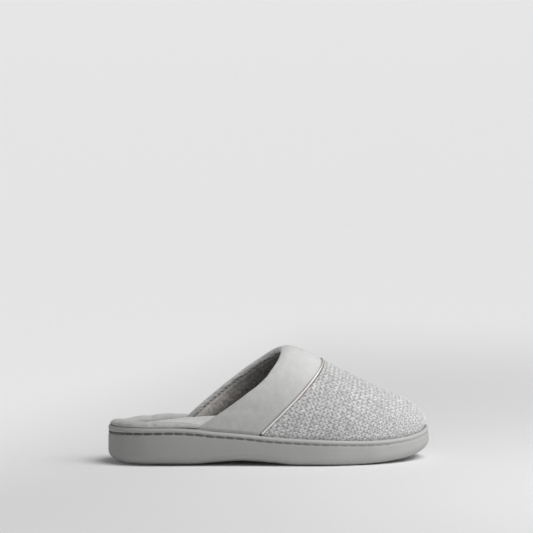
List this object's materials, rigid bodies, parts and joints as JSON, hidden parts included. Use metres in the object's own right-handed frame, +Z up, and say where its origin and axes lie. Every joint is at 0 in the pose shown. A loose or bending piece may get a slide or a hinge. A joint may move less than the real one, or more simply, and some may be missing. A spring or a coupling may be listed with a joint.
{
  "type": "mule slipper",
  "caption": "Backless house slipper for the right foot: padded knitted vamp with a plain collar band and piping, on a thick moulded sole with a padded heel rim.",
  "frame": {"origin": "on the floor, under the middle of the slipper's box", "axes": "+X towards the toe, -Y towards the outer side of the right foot, +Z up from the floor"},
  "size_m": [0.258, 0.0937, 0.0909],
  "materials": {
    "outsole": "matt moulded foam rubber, mid grey",
    "insole": "soft brushed pile, light grey",
    "heel_rim": "soft brushed pile, grey",
    "upper": "heather grey knit with a plain grey velour collar band",
    "piping": "metallic rose-coloured cord"
  },
  "bodies": {
    "root": {"outsole": "outsole", "insole": "insole", "heel_rim": "heel_rim", "upper": "upper", "piping": "piping"}
  },
  "joints": []
}
